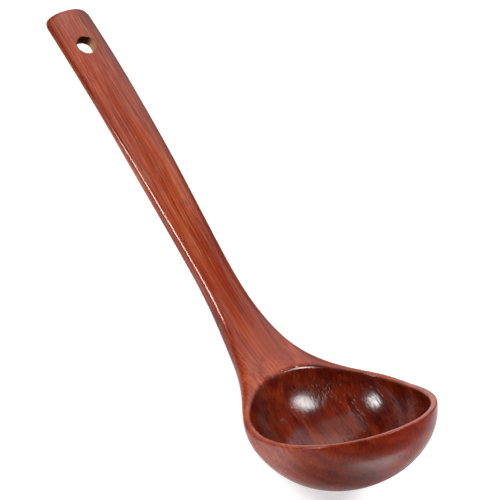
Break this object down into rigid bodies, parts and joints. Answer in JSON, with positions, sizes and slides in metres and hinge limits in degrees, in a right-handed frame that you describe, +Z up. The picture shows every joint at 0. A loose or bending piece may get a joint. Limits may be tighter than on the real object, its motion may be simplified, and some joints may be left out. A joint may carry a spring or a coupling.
{
  "type": "wooden ladle",
  "caption": "Carved lacquered wooden kitchen ladle with a deep round bowl, a flared neck and a flat handle with a hanging hole near its rounded end.",
  "frame": {"origin": "middle of the box's base, on the table the ladle lies on", "axes": "+X along the ladle from the end of the handle to the bowl, +Y across it, +Z up from the table; the ladle lies at rest on the underside of its bowl and neck"},
  "size_m": [0.2806, 0.085, 0.0663],
  "materials": {
    "bowl_wood": "gloss clear lacquer over reddish brown hardwood",
    "handle_wood": "gloss clear lacquer over reddish brown hardwood"
  },
  "bodies": {
    "root": {"bowl": "bowl_wood", "handle": "handle_wood"}
  },
  "joints": []
}
